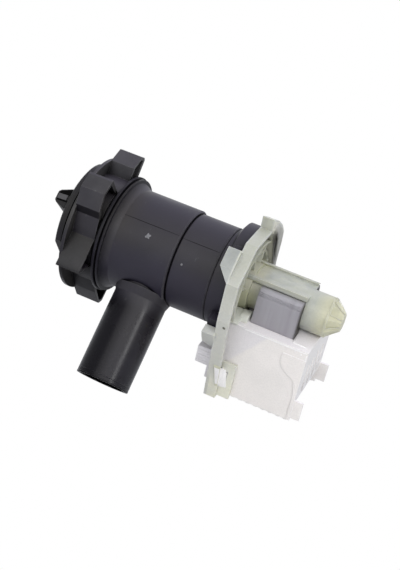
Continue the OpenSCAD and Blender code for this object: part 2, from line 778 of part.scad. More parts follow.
module coil_cover() color([0.93, 0.93, 0.92]) {
    inner = cover_half - cover_wall;
    difference() {
        union() {
            motor_block([cover_x, cover_end], [-cover_half, cover_half],
                [-cover_bottom, -cover_top]);
            side_panel(1);
            side_panel(-1);
            motor_block([cover_x, cover_x + cover_wall], [-inner, inner],
                [-panel_bottom, -cover_bottom + 1]);
            motor_frame() translate([cover_x, -cover_half + 0.1, -cover_top])
                rotate([90, 0, 0]) linear_extrude(height = 0.7) polygon(emboss_outline);
            motor_block([core_x + stack_len + 0.6, core_x + stack_len + 10], [-13, 13],
                [-cover_top - 1, -cover_top + 0.001]);
        }
        motor_block([cover_x + cover_wall, cover_end - cover_wall], [-inner, inner],
            [-panel_bottom - 1, -cover_top - cover_wall]);
        for (side = [-1, 1])
            motor_block([core_x - 0.2, core_x + stack_len + 0.2],
                side > 0 ? [arm_in - 0.2, core_half + 0.2] : [-core_half - 0.2, -arm_in + 0.2],
                [-cover_top - cover_wall - 1, -cover_top + 1]);
    }
}

module connector_housing() color([0.78, 0.78, 0.8]) {
    difference() {
        union() {
            motor_block([plate_x - conn_reach, web_back + 0.2], [conn_far, conn_near],
                [-conn_bottom, -conn_top]);
            motor_block([plate_x - 3.2, plate_x - gap], [conn_far - 2, conn_near + 1],
                [-conn_bottom - 8.7, -conn_top + 1.6]);
            for (i = [1 : 3])
                motor_block([plate_x - conn_reach + 1, plate_x - 1],
                    [conn_far - rib_out, conn_near + rib_out],
                    [-conn_top - rib_pitch * i, -conn_top - rib_pitch * i + rib_t]);
        }
        motor_block([plate_x - conn_reach - 1, plate_x - 2],
            [conn_far + conn_wall, conn_near - conn_wall],
            [-conn_bottom + conn_wall, -conn_top - conn_wall]);
    }
}

module terminals() color([0.8, 0.8, 0.78]) {
    for (d = [conn_far + 5.8, conn_near - 6.6])
        motor_block([plate_x - conn_reach + 2, plate_x - 2], [d, d + 0.8],
            [-conn_bottom + 3.5, -conn_top - 3.3]);
}

filter_housing();
pump_housing();
housing_seal();
bracket_seal();
filter_cap();
lint_filter();
filter_seal();
impeller();
drive_dog();
rotor_shaft();
rotor_magnet();
rotor_carrier();
thrust_washers();
rotor_cover();
front_bush();
rear_bush();
front_bush_mount();
rear_bush_mount();
motor_bracket();
stator_core();
near_bobbin();
far_bobbin();
near_winding();
far_winding();
coil_cover();
connector_housing();
terminals();
thermal_cutout();
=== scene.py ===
import json
import math
import bmesh
import bpy
from mathutils import Matrix, Vector


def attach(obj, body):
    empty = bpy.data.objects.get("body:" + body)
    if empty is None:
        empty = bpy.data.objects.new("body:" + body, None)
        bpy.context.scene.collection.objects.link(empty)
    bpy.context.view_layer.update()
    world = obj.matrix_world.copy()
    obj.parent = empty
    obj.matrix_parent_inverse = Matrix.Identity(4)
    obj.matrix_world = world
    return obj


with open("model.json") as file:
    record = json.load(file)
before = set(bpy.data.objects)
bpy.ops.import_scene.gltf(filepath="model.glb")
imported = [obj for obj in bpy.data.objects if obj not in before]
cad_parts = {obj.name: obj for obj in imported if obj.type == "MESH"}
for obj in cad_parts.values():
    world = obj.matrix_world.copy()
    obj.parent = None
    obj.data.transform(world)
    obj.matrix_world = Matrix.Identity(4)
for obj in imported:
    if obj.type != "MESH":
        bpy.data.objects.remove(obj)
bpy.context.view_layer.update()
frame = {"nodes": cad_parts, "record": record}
nodes = frame["nodes"]
MM = 0.001

# Sizes of the solids that the pieces sit on and that aren't read from the frame, in millimetres
# and degrees
MOTOR_TILT = 41.6
BARREL_R = 35.9
PUMP_R = 34.2
PUMP_SEAM_X = 80.2
SEAM_ANGLE = 79
DISC_X = -31.0
HANDLE_ANGLE = 87
HANDLE_HEIGHT = 9.6
HANDLE_FOOT = 8
HANDLE_CREST = 3.9
CAN_R = 14.15
CAN_END = 160.5
NOSE_R = 6.6
WEB_BACK = 98.5
RIM_BACK = 104.5
COVER_X = 105.0
COVER_END = 158.0
COVER_D = 29.0
COVER_BOTTOM = -57.0
CONNECTOR_D = 30.35

# The camera fitted to the photograph, in degrees, millimetres and pixels
CAMERA_AZIMUTH = 14.67
CAMERA_ELEVATION = -9.56
CAMERA_ROLL = 24.57
CAMERA_AIM = Vector((81.5, 0, 0))
CAMERA_RIGHT = -17.36
CAMERA_UP = -6.5
CAMERA_BACK = 796.34
FOCAL_PIXELS = 1155.26
PHOTO_HEIGHT = 570
SENSOR_HEIGHT = 36.0

# The floor, in metres
FLOOR_CENTRE = (0.08, 0, -0.1035)
FLOOR_R = 6.0
FLOOR_FADE = (0.22, 0.6)


# Camera

def make_camera():
    az = math.radians(CAMERA_AZIMUTH)
    el = math.radians(CAMERA_ELEVATION)
    roll = math.radians(CAMERA_ROLL)
    back = Vector((math.sin(az) * math.cos(el), -math.cos(az) * math.cos(el), math.sin(el)))
    level = Vector((math.cos(az), math.sin(az), 0.0))
    upright = back.cross(level)
    right = math.cos(roll) * level + math.sin(roll) * upright
    up = -math.sin(roll) * level + math.cos(roll) * upright
    at = CAMERA_AIM + right * CAMERA_RIGHT + up * CAMERA_UP + back * CAMERA_BACK
    data = bpy.data.cameras.new("Camera")
    data.sensor_fit = "VERTICAL"
    data.sensor_height = SENSOR_HEIGHT
    data.lens = FOCAL_PIXELS / PHOTO_HEIGHT * data.sensor_height
    data.clip_start = 0.01
    data.clip_end = 50
    cam = bpy.data.objects.new("Camera", data)
    bpy.context.scene.collection.objects.link(cam)
    turned = Matrix((right, up, back)).transposed().to_4x4()
    turned.translation = at * MM
    cam.matrix_world = turned
    bpy.context.scene.camera = cam


make_camera()


# Places on the pump

def motor(x, d, h):
    """A point in metres from x, the distance to the motor's front side and its height."""
    tilt = math.radians(MOTOR_TILT)
    y = -d * math.cos(tilt) - h * math.sin(tilt)
    z = -d * math.sin(tilt) + h * math.cos(tilt)
    return Vector((x, y, z)) * MM


def motor_way(x, d, h):
    """A direction from its parts along the axis, to the motor's front side and up the motor."""
    return motor(x, d, h).normalized()


def outward(angle):
    """The direction away from the pump axis at an angle from the top towards the front."""
    a = math.radians(angle)
    return Vector((0, -math.sin(a), math.cos(a)))


def around(x, r, angle):
    """A point in metres at a radius round the pump axis."""
    return Vector((x, 0, 0)) * MM + outward(angle) * r * MM


def opposite(angle):
    """An angle in degrees and the one across the axis from it."""
    return (angle, angle + 180)


def reach(name, way):
    """How far a node reaches along a direction: its least and its greatest place in millimetres."""
    places = [vertex.co.dot(way) / MM for vertex in nodes[name].data.vertices]
    return round(min(places), 2), round(max(places), 2)


AXIS = Vector((1, 0, 0))
CAPWARD = Vector((-1, 0, 0))
DOWN = Vector((0, 0, -1))
FRONT = motor_way(0, 1, 0)
UP = motor_way(0, 0, 1)

# Sizes worked out from the frame, in millimetres
inlet = next(mount for mount in frame["record"]["mounts"] if mount["name"] == "inlet_spigot")
INLET_R = inlet["dims"]["r_mm"]
INLET_X = round(inlet["pos_m"][0] / MM, 2)
INLET_END = -reach("filter_housing", DOWN)[1]
NOSE_END = reach("motor_bracket", AXIS)[1]
CORE_X, CORE_END = reach("stator_core", AXIS)
CORE_D = reach("stator_core", FRONT)[1]
ARM_TOP = reach("stator_core", UP)[1]
PANEL_BOTTOM, COVER_TOP = reach("coil_cover", UP)


def on_tube(z, angle):
    """A point on the inlet tube in metres and its outward direction, from an angle in radians."""
    way = Vector((math.cos(angle), math.sin(angle), 0))
    return (Vector((INLET_X, 0, z)) + way * INLET_R) * MM, way


# Materials. Their distances are in metres of the row frame

class Look:
    """A node material and the helpers that write it."""

    def __init__(self, name):
        self.mat = bpy.data.materials.new(name)
        self.mat.use_nodes = True
        self.t = self.mat.node_tree
        self.t.nodes.clear()
        self.out = self.add("ShaderNodeOutputMaterial")
        self.bsdf = self.add("ShaderNodeBsdfPrincipled")
        self.link(self.bsdf, "BSDF", self.out, "Surface")
        self.coord = self.add("ShaderNodeTexCoord")

    def add(self, kind, **values):
        n = self.t.nodes.new(kind)
        for k, v in values.items():
            setattr(n, k, v)
        return n

    def link(self, a, out, b, inp):
        self.t.links.new(a.outputs[out], b.inputs[inp])

    def wire(self, value, socket):
        """Set a socket from a number, a colour, another socket or a (node, output) pair."""
        if isinstance(value, tuple) and len(value) == 2:
            self.t.links.new(value[0].outputs[value[1]], socket)
        elif isinstance(value, bpy.types.NodeSocket):
            self.t.links.new(value, socket)
        elif isinstance(value, (int, float)):
            socket.default_value = value
        else:
            socket.default_value = (*value, 1)

    def stretched(self, scale):
        n = self.add("ShaderNodeMapping")
        n.inputs["Scale"].default_value = scale
        self.link(self.coord, "Object", n, "Vector")
        return n

    def noise(self, scale, detail=3.0, rough=0.5, place=None):
        n = self.add("ShaderNodeTexNoise")
        n.inputs["Scale"].default_value = scale
        n.inputs["Detail"].default_value = detail
        n.inputs["Roughness"].default_value = rough
        if place:
            self.link(place, "Vector", n, "Vector")
        else:
            self.link(self.coord, "Object", n, "Vector")
        return n

    def ramp(self, src, out, stops):
        n = self.add("ShaderNodeValToRGB")
        for element, (at, colour) in zip(n.color_ramp.elements, stops):
            element.position = at
            element.color = (*colour, 1)
        self.link(src, out, n, "Fac")
        return n

    def mix(self, fac, a, b, kind="MIX"):
        """Mix two colours and return the result's socket."""
        n = self.add("ShaderNodeMix", data_type="RGBA", blend_type=kind)
        ins = [s for s in n.inputs if s.enabled]
        for value, socket in zip((fac, a, b), ins):
            self.wire(value, socket)
        return [s for s in n.outputs if s.enabled][0]

    def colour(self, socket):
        self.t.links.new(socket, self.bsdf.inputs["Base Color"])

    def math(self, kind, a, b):
        n = self.add("ShaderNodeMath", operation=kind)
        self.wire(a, n.inputs[0])
        self.wire(b, n.inputs[1])
        return n.outputs[0]

    def times(self, first, *others):
        """The product of numbers and sockets."""
        product = first
        for value in others:
            product = self.math("MULTIPLY", product, value)
        return product

    def less(self, mask):
        """1 minus a mask."""
        return self.math("SUBTRACT", 1.0, mask)

    def tint(self, tone, colour, share, *masks):
        """Mix a colour into a tone by a share, where all of the masks are 1."""
        return self.mix(self.times(*masks, share), tone, colour)

    def between(self, value, low, high):
        """0 at low, 1 at high and smooth between them. Low may be the larger number."""
        n = self.add("ShaderNodeMapRange", interpolation_type="SMOOTHSTEP")
        self.wire(value, n.inputs["Value"])
        n.inputs["From Min"].default_value = low
        n.inputs["From Max"].default_value = high
        return n.outputs["Result"]

    def vector_math(self, kind, value, other=(0, 0, 0)):
        n = self.add("ShaderNodeVectorMath", operation=kind)
        self.wire(value, n.inputs[0])
        n.inputs[1].default_value = other
        return n.outputs["Vector" if kind == "MULTIPLY" else "Value"]

    def along(self, direction):
        """The distance along a direction of the row frame, in metres."""
        return self.vector_math("DOT_PRODUCT", (self.coord, "Object"), direction)

    def facing(self, direction):
        """How much the surface faces along a direction of the row frame."""
        return self.vector_math("DOT_PRODUCT", (self.coord, "Normal"), direction)

    def from_axis(self):
        """The distance from the pump axis, in metres."""
        flat = self.vector_math("MULTIPLY", (self.coord, "Object"), (0, 1, 1))
        return self.vector_math("LENGTH", flat)

    def bump(self, src, out, strength, distance, before=None):
        n = self.add("ShaderNodeBump")
        n.inputs["Strength"].default_value = strength
        n.inputs["Distance"].default_value = distance
        self.link(src, out, n, "Height")
        if before:
            self.link(before, "Normal", n, "Normal")
        return n

    def soft_edges(self, radius):
        n = self.add("ShaderNodeBevel", samples=6)
        n.inputs["Radius"].default_value = radius
        return n

    def set(self, **values):
        for k, v in values.items():
            self.bsdf.inputs[k.replace("_", " ")].default_value = v


def scaled(colour, *factors):
    return tuple(c * f for c, f in zip(colour, factors))


def cloudy(m, dark, light, scale=38):
    big = m.noise(scale, 4, 0.55)
    return m.mix(m.between((big, "Fac"), 0.3, 0.7), dark, light)


def worn_edges(m, colour, worn):
    """Lighten a narrow band along the edges of a moulding, found where a bevel would turn."""
    width = 0.0007
    geo = m.add("ShaderNodeNewGeometry")
    turn = m.add("ShaderNodeVectorMath", operation="DOT_PRODUCT")
    m.link(m.soft_edges(width), "Normal", turn, 0)
    m.link(geo, "Normal", turn, 1)
    wear = m.noise(220, 3, 0.6)
    edge = m.times(m.between((turn, "Value"), 0.99, 0.86), m.between((wear, "Fac"), 0.3, 0.6))
    return m.mix(edge, colour, worn)


def outside_painted_corner_shade(m, reach):
    """1 on free surfaces, falling to 0 in inner corners, where the moulding gets painted shade and less
    gloss.
    """
    shut = m.add("ShaderNodeAmbientOcclusion", samples=6)
    shut.inputs["Distance"].default_value = reach
    return m.between((shut, "AO"), 0.2, 0.85)


def moulded(m, tone, rough, grain, grain_height, soft, spec=0.5):
    """Grain, soft waves, softened edges and uneven gloss of a moulded plastic."""
    wave_height = 0.00012
    big = m.noise(38, 4, 0.55)
    fine = m.noise(grain, 2, 0.6)
    speck = m.ramp(fine, "Fac", [(0.35, (0.93, 0.93, 0.93)), (0.65, (1.0, 1.0, 1.0))])
    m.colour(m.mix(1.0, tone, (speck, "Color"), "MULTIPLY"))
    uneven = m.ramp(big, "Fac", [(0.25, (rough - 0.05,) * 3), (0.75, (rough + 0.07,) * 3)])
    m.link(uneven, "Color", m.bsdf, "Roughness")
    grained = m.bump(fine, "Fac", 0.5, grain_height, m.soft_edges(soft))
    waved = m.bump(m.noise(60, 2), "Fac", 0.25, wave_height, grained)
    m.link(waved, "Normal", m.bsdf, "Normal")
    m.wire(spec, m.bsdf.inputs["Specular IOR Level"])


def black_tones(m, dark, light, worn, tube, away):
    """Clouds, painted violet sheen on top and low in front, painted warm light on the collar, dust, a
    blacker tube with painted shade on one side.
    """
    tone = cloudy(m, dark, light)
    warm = m.between((m.noise(16, 3), "Fac"), 0.42, 0.6)
    tone = m.tint(tone, scaled(dark, 1.3, 1.2, 0.95), 0.5, warm)
    # Painted sheen: faces turned up get a lighter violet tone.
    top = m.between(m.facing((0, -0.2, 0.98)), 0.2, 0.9)
    tone = m.tint(tone, scaled(light, 1, 0.88, 1.3), 0.5, top)
    x = m.along(AXIS)
    # Painted light: the collar's faces turned to the front and up get a lighter, warm tone.
    by_collar = m.times(m.between(x, 0.024, 0.006), m.between(x, 0.001, 0.003))
    painted_light_front_top = m.between(m.facing((0, -0.85, 0.5)), 0.55, 0.95)
    tone = m.tint(tone, scaled(dark, 1.9, 1.75, 1.05), 0.6, by_collar, painted_light_front_top)
    # Painted sheen: faces turned low and to the front get a violet tone.
    painted_sheen_low_front = m.between(m.facing((0, -0.6, -0.8)), 0.75, 0.98)
    tone = m.tint(tone, scaled(dark, 1, 0.9, 1.5), 0.5, painted_sheen_low_front)
    dust = m.noise(260, 6, 0.7)
    tone = m.mix(m.between((dust, "Fac"), 0.62, 0.8), tone, worn)
    tone = m.tint(tone, (0.004, 0.0036, 0.0045), 0.45, tube)
    # Painted shade: the tube's side facing the front and the cap gets a darker tone.
    return m.tint(tone, (0.003, 0.0027, 0.0035), 0.6, away)


def black_plastic(name, dark, light, rough, shade, worn=(0.06, 0.06, 0.064), under=0.0):
    """Black moulding with a glossier inlet tube, worn edges, and painted shade and less gloss in inner
    corners. It also gets painted shade and less gloss from shade[0] to shade[1] along the axis and, by
    the share under, on its low side."""
    m = Look(name)
    height = m.along(DOWN)
    tube = m.between(height, 0.038, 0.05)
    # away marks the tube's side facing the front and the cap, for its painted shade and its lower
    # gloss.
    away = m.times(tube, m.between(m.facing((-0.42, -0.9, 0)), 0.72, 0.98))
    tone = black_tones(m, dark, light, worn, tube, away)
    # Painted shade: darker along the axis from shade[0] to shade[1], and by the share under on faces
    # turned down and on the lowest parts.
    in_shade = m.times(m.between(m.along(AXIS), *shade), 0.5)
    below = m.times(m.between(m.facing((0, 0.1, -1)), 0.4, 0.85), under)
    painted_low_shade = m.times(m.between(height, 0.006, 0.02), 0.4 * under)
    painted_shade = m.math("MAXIMUM", in_shade, m.math("MAXIMUM", below, painted_low_shade))
    # Outside all painted shade, the corners' too, free is 1; where it falls to 0 the tone drops to a
    # tenth and most gloss goes.
    free = m.times(outside_painted_corner_shade(m, 0.009), m.less(painted_shade))
    tone = m.mix(free, m.mix(0.9, tone, (0.0, 0.0, 0.0)), worn_edges(m, tone, worn))
    gloss = m.math("ADD", m.times(free, 0.36), 0.04)
    gloss = m.times(gloss, m.less(m.times(tube, 0.35)), m.less(m.times(away, 0.5)))
    moulded(m, tone, rough, 1400, 0.00002, 0.0005, gloss)
    uneven = m.bsdf.inputs["Roughness"].links[0].from_socket
    m.wire(m.math("SUBTRACT", uneven, m.times(tube, 0.24)), m.bsdf.inputs["Roughness"])
    return m


def plain_plastic(name, dark, light, rough, grain=1100, spec=0.5):
    m = Look(name)
    moulded(m, cloudy(m, dark, light), rough, grain, 0.00002, 0.0003, spec)
    return m


def bracket_wall(m, x, front, height):
    """The bracket in front of the can: its rim, tray, ear, claws, snap loops and foot."""
    to_motor = m.facing(AXIS)
    tone = cloudy(m, (0.43, 0.445, 0.405), (0.50, 0.51, 0.46))
    tray = m.times(m.between(x, 0.0965, 0.0975), m.between(x, 0.1043, 0.1036),
                   m.between(to_motor, -0.2, 0.3), m.between(front, -0.031, -0.0285))
    tone = m.mix(tray, tone, cloudy(m, (0.27, 0.275, 0.205), (0.40, 0.40, 0.30), 60))
    ear = m.times(m.between(front, 0.002, -0.02), m.between(to_motor, 0.9, 0.4))
    tone = m.tint(tone, (0.56, 0.56, 0.46), 0.7, ear)
    behind_rim = m.between(x, 0.105, 0.107)
    tone = m.mix(behind_rim, tone, cloudy(m, (0.385, 0.395, 0.335), (0.445, 0.45, 0.38)))
    claws = m.between(x, 0.0962, 0.0955)
    tone = m.tint(tone, cloudy(m, (0.28, 0.295, 0.28), (0.36, 0.375, 0.355), 80), 0.9, claws)
    loops = m.times(m.between(front, 0.0325, 0.0318), m.between(front, 0.0285, 0.029),
                    m.between(height, -0.043, -0.0445))
    tone = m.tint(tone, (0.70, 0.70, 0.55), 0.9, loops)
    low = m.between(m.along(DOWN), -0.01, 0.045)
    tone = m.tint(tone, (0.62, 0.62, 0.575), 0.6, low)
    foot = m.times(m.between(height, -0.048, -0.066), m.between(x, 0.0975, 0.0985))
    return m.tint(tone, (0.76, 0.755, 0.62), 0.7, foot)


def can_skin(m, x):
    """The rotor can: olive at its root, with painted light on the root's top, bluish by the core and
    yellow on the nose.
    """
    root = cloudy(m, (0.31, 0.315, 0.21), (0.41, 0.41, 0.285), 70)
    # Painted light: the root's faces turned up get a lighter tone.
    root = m.mix(m.between(m.facing(UP), 0.1, 0.6), root, (0.47, 0.465, 0.375))
    can = cloudy(m, (0.365, 0.38, 0.342), (0.455, 0.465, 0.40), 90)
    nose = cloudy(m, (0.43, 0.425, 0.29), (0.54, 0.53, 0.38), 80)
    skin = m.mix(m.between(x, 0.107, 0.114), root, can)
    return m.mix(m.between(x, 0.146, 0.160), skin, nose)


def cream_plastic():
    """The bracket's slightly translucent plastic, with worn edges outside its tray."""
    m = Look("cream_pbt")
    x = m.along(AXIS)
    wall = bracket_wall(m, x, m.along(FRONT), m.along(UP))
    on_can = m.times(m.between(m.from_axis(), 0.0185, 0.0172), m.between(x, 0.0978, 0.0990))
    tone = m.mix(on_can, wall, can_skin(m, x))
    inner = m.times(m.between(x, 0.0965, 0.0975), m.between(x, 0.1062, 0.1052))
    worn = m.mix(inner, (0.66, 0.67, 0.62), tone)
    moulded(m, worn_edges(m, tone, worn), 0.36, 900, 0.000015, 0.00045)
    m.set(Subsurface_Weight=0.22, Subsurface_Radius=(1.0, 0.95, 0.55), Subsurface_Scale=0.003)
    return m


def cover_plastic():
    """The white cover, with painted shade on its front's upper corner and on its end, and painted light
    on its top.
    """
    m = Look("white_cover")
    tone = cloudy(m, (0.765, 0.737, 0.702), (0.815, 0.782, 0.745))
    # Painted shade: a violet-grey zone on the front's upper corner by the bracket, with a slanting,
    # slightly wavy edge.
    tilt = math.radians(MOTOR_TILT)
    across = (-0.797, -0.604 * math.sin(tilt), 0.604 * math.cos(tilt))
    ripple = m.times((m.noise(90, 2), "Fac"), 0.002)
    shade = m.between(m.math("ADD", m.along(across), ripple), -0.1125, -0.109)
    tone = m.tint(tone, (0.66, 0.645, 0.675), 0.55, shade)
    # Painted shade: faces turned to the motor's end get a greyer tone.
    end = m.between(m.facing(AXIS), 0.6, 0.9)
    tone = m.tint(tone, (0.66, 0.66, 0.665), 0.5, end)
    # Painted light: faces turned up get a lighter tone.
    tone = m.mix(m.between(m.facing(UP), 0.6, 0.9), tone, (0.82, 0.79, 0.80))
    moulded(m, worn_edges(m, tone, (0.86, 0.85, 0.84)), 0.42, 1100, 0.000018, 0.0004)
    m.set(Subsurface_Weight=0.12, Subsurface_Radius=(1.0, 1.0, 1.0), Subsurface_Scale=0.003)
    return m


def metal(name, a, b, rough, stretch=(1, 1, 1), scale=300):
    m = Look(name)
    n = m.noise(scale, 4, 0.6, m.stretched(stretch))
    m.colour(m.mix((n, "Fac"), a, b))
    uneven = m.ramp(n, "Fac", [(0.3, (rough - 0.08,) * 3), (0.7, (rough + 0.1,) * 3)])
    m.link(uneven, "Color", m.bsdf, "Roughness")
    m.link(m.bump(n, "Fac", 0.3, 0.00003), "Normal", m.bsdf, "Normal")
    m.set(Metallic=1.0)
    return m


def lamination_steel():
    """Sheet edges: fine lines across the stack, broader, duller bands, faint stains and painted shade
    on the end face and last sheets.
    """
    m = Look("laminations")
    sheets = m.add("ShaderNodeTexWave", wave_type="BANDS", bands_direction="X")
    sheets.inputs["Scale"].default_value = 640
    sheets.inputs["Distortion"].default_value = 0.0
    m.link(m.coord, "Object", sheets, "Vector")
    bands = m.noise(170, 4, 0.6, m.stretched((1, 0.06, 0.06)))
    stains = m.noise(120, 4, 0.6)
    tone = m.mix(m.between((bands, "Fac"), 0.25, 0.75), (0.315, 0.305, 0.325), (0.39, 0.38, 0.405))
    tone = m.mix(m.between((stains, "Fac"), 0.52, 0.75), tone, (0.36, 0.35, 0.365))
    # Painted shade: the end face and the last sheets before it go near black.
    painted_shade_last_sheets = m.times(m.between(m.along(AXIS), 0.1422, 0.1434), 0.6)
    end = m.math("MAXIMUM", m.between(m.facing(AXIS), 0.5, 0.9), painted_shade_last_sheets)
    tone = m.mix(end, tone, (0.045, 0.042, 0.036))
    line = m.ramp(sheets, "Fac", [(0.1, (0.86, 0.86, 0.86)), (0.5, (1, 1, 1))])
    m.colour(m.mix(1.0, tone, (line, "Color"), "MULTIPLY"))
    low = m.bump(bands, "Fac", 0.35, 0.00008, m.soft_edges(0.0006))
    m.link(m.bump(sheets, "Fac", 0.3, 0.00003, low), "Normal", m.bsdf, "Normal")
    m.set(Metallic=0.45, Roughness=0.45)
    return m


# Painted shade along the axis: on the housing by the collar under the cap, on the cap towards its front
# disc. The cap also gets painted shade on its low side.
black = black_plastic("black_pp", (0.015, 0.0138, 0.0195), (0.024, 0.0222, 0.0305), 0.5,
                      shade=(0.0085, 0.004))
cap_black = black_plastic("cap_pp", (0.022, 0.0213, 0.0222), (0.050, 0.0486, 0.0498), 0.46,
                          shade=(-0.0215, -0.0235), worn=(0.1, 0.098, 0.1), under=0.8)
seam = plain_plastic("parting_line", (0.008, 0.0078, 0.009), (0.013, 0.0125, 0.014), 0.6, spec=0.08)
# Near black that paints the shade of the handle's hollows and grooves.
painted_hollow_shade = plain_plastic("shadowed_hollow", (0.003, 0.003, 0.003), (0.005, 0.005, 0.005), 0.8, spec=0.03)
# A lighter black for the lips at the handle's ends.
lighter_black = plain_plastic("lighter_black_lip", (0.05, 0.049, 0.051), (0.09, 0.087, 0.089), 0.42)
scar = plain_plastic("gate_scar", (0.13, 0.13, 0.14), (0.2, 0.2, 0.21), 0.65)
cream = cream_plastic()
# A dark olive that paints the shade in the rim's hole and the web's slot.
painted_shade_olive = plain_plastic("web_painted_shade", (0.10, 0.10, 0.075), (0.15, 0.15, 0.115), 0.6)
cream_yellow = plain_plastic("latch_plastic", (0.50, 0.50, 0.37), (0.62, 0.62, 0.47), 0.4, 900)
cream_ear = plain_plastic("ear_plastic", (0.50, 0.495, 0.42), (0.60, 0.595, 0.50), 0.4, 900)
cream_light = plain_plastic("cream_edge", (0.60, 0.61, 0.55), (0.68, 0.69, 0.62), 0.4, 900)
white = cover_plastic()
white_edge = plain_plastic("cover_edge", (0.80, 0.79, 0.78), (0.86, 0.85, 0.84), 0.4)
grey = plain_plastic("grey_connector", (0.70, 0.685, 0.70), (0.80, 0.785, 0.80), 0.45)
nylon = plain_plastic("natural_nylon", (0.66, 0.66, 0.62), (0.75, 0.75, 0.71), 0.4)
rubber = plain_plastic("seal_rubber", (0.012, 0.012, 0.012), (0.022, 0.022, 0.022), 0.6)
tan = plain_plastic("tan_plastic", (0.36, 0.28, 0.14), (0.45, 0.36, 0.2), 0.4)
steel = metal("ground_steel", (0.5, 0.51, 0.53), (0.66, 0.67, 0.69), 0.3, (0.1, 1, 1), 900)
ferrite = metal("ferrite", (0.07, 0.07, 0.075), (0.12, 0.12, 0.125), 0.6)
bronze = metal("sintered_bronze", (0.36, 0.22, 0.1), (0.5, 0.34, 0.16), 0.5)
copper = metal("enamelled_copper", (0.42, 0.16, 0.07), (0.6, 0.28, 0.13), 0.35, (1, 1, 8), 400)
laminations = lamination_steel()

LOOKS = {
    "filter_housing": black, "pump_housing": black, "filter_cap": cap_black,
    "lint_filter": cap_black, "housing_seal": rubber, "bracket_seal": rubber,
    "filter_seal": rubber, "impeller": nylon, "drive_dog": tan, "rotor_shaft": steel,
    "rotor_magnet": ferrite, "rotor_carrier": nylon, "thrust_washers": tan,
    "rotor_cover": cream_light, "front_bush": bronze, "rear_bush": bronze,
    "front_bush_mount": rubber, "rear_bush_mount": rubber, "motor_bracket": cream,
    "stator_core": laminations, "near_bobbin": nylon, "far_bobbin": nylon,
    "near_winding": copper, "far_winding": copper, "coil_cover": white,
    "connector_housing": grey, "terminals": steel, "thermal_cutout": cap_black,
}
for name, look in LOOKS.items():
    mesh = nodes[name].data
    mesh.materials.clear()
    mesh.materials.append(look.mat)


# Piece builders. Beads and ribs start below the surface that they sit on by SINK millimetres

SINK = 0.2


def piece(name, bm, look, body, smooth=True):
    bmesh.ops.recalc_face_normals(bm, faces=bm.faces[:])
    mesh = bpy.data.meshes.new(name)
    bm.to_mesh(mesh)
    bm.free()
    mesh.materials.append(look.mat)
    for face in mesh.polygons:
        face.use_smooth = smooth
    ob = bpy.data.objects.new(name, mesh)
    bpy.context.scene.collection.objects.link(ob)
    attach(ob, body)


def add_skin(bm, rings, closed=False):
    """Faces from ring to ring, and an end face at each end unless the row of rings is closed."""
    pairs = list(zip(rings, rings[1:]))
    if closed:
        pairs.append((rings[-1], rings[0]))
    n = len(rings[0])
    for r0, r1 in pairs:
        for i in range(n):
            bm.faces.new((r0[i], r0[(i + 1) % n], r1[(i + 1) % n], r1[i]))
    if not closed:
        bm.faces.new(rings[0])
        bm.faces.new(list(reversed(rings[-1])))


def soften(bm, offset):
    """Round every edge that the mesh has so far."""
    bmesh.ops.bevel(bm, geom=bm.edges[:], offset=offset * MM, segments=3, profile=0.5,
                    affect="EDGES")


def add_bead(bm, path, ups, width, height, closed=False):
    """A low rounded bead along a path. ups are the surface's normals at its points."""
    steps = 6
    narrow_end = 0.4
    rings = []
    n = len(path)
    for i, (p, up) in enumerate(zip(path, ups)):
        ahead = path[(i + 1) % n] if closed else path[min(i + 1, n - 1)]
        behind = path[i - 1] if closed else path[max(i - 1, 0)]
        along = (ahead - behind).normalized()
        up = (up - up.project(along)).normalized()
        side = along.cross(up)
        k = narrow_end if not closed and i in (0, n - 1) else 1.0
        ring = []
        for j in range(steps + 1):
            t = math.pi * j / steps
            ring.append(bm.verts.new(p - side * math.cos(t) * width * MM / 2 * k
                                     + up * math.sin(t) * height * MM * k))
        ring.append(bm.verts.new(p + side * width * MM / 2 * k - up * SINK * MM))
        ring.append(bm.verts.new(p - side * width * MM / 2 * k - up * SINK * MM))
        rings.append(ring)
    add_skin(bm, rings, closed)


def add_turned(bm, at, axis, profile, count=24):
    """A small turned shape from [radius, height] points along its axis, closed at both ends."""
    axis = axis.normalized()
    side = axis.orthogonal().normalized()
    other = axis.cross(side)
    rings = []
    for r, h in profile:
        rings.append([
            bm.verts.new(at + axis * h * MM
                         + (side * math.cos(2 * math.pi * i / count)
                            + other * math.sin(2 * math.pi * i / count)) * r * MM)
            for i in range(count)
        ])
    add_skin(bm, rings)


def add_rib(bm, foot, out, along, length, height, thick):
    """A moulded rib with drafted sides and a rounded crest, centred on foot."""
    draft = 0.35
    outline = ((-0.5, 0.0), (-0.5, 0.75), (-0.42, 1.0), (0.42, 1.0), (0.5, 0.75), (0.5, 0.0))
    out, along = out.normalized(), along.normalized()
    side = along.cross(out).normalized()
    rings = []
    for s in (-1, 1):
        ring = []
        for a, h in outline:
            w = thick / 2 * (1 - draft * h)
            ring.append(bm.verts.new(foot + along * a * length * MM
                                     + out * (h * height - SINK) * MM + side * s * w * MM))
        rings.append(ring)
    add_skin(bm, rings)


def add_plate(bm, outline, x0, x1, soft):
    """A plate with rounded edges, from [front, height] points of the motor's frame."""
    add_skin(bm, [[bm.verts.new(motor(x, d, h)) for d, h in outline] for x in (x0, x1)])
    soften(bm, soft)


def plate(name, look, outline, x0, x1, soft):
    bm = bmesh.new()
    add_plate(bm, outline, x0, x1, soft)
    piece(name, bm, look, "housing")


def straight(p, q, n):
    return [p + (q - p) * (i / (n - 1)) for i in range(n)]


def beads(name, paths, look, body, width, height):
    """Several straight or bent beads as one piece. Each path comes with its normal."""
    bm = bmesh.new()
    for path, up in paths:
        add_bead(bm, path, [up] * len(path), width, height)
    piece(name, bm, look, body)


